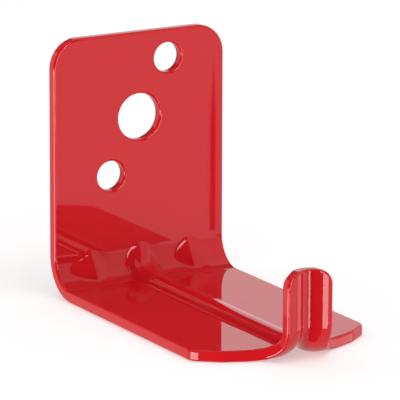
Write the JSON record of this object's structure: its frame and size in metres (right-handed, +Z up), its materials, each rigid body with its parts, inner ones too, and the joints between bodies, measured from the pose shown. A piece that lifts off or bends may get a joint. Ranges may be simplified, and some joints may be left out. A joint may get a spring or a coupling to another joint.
{
  "type": "fire extinguisher bracket",
  "caption": "Folded sheet-metal wall bracket: a flat plate with screw holes, a ribbed shelf and a narrow upturned tab that keeps a hung extinguisher on it.",
  "frame": {"origin": "centre of the large hole, on the wall face of the plate", "axes": "+Y points into the wall, at right angles to the plate; +Z up; +X to the right as seen from the room"},
  "size_m": [0.038, 0.0669, 0.0508],
  "materials": {
    "red_paint": "smooth glossy red enamel over steel sheet"
  },
  "bodies": {
    "root": {"bracket": "red_paint"}
  },
  "joints": []
}
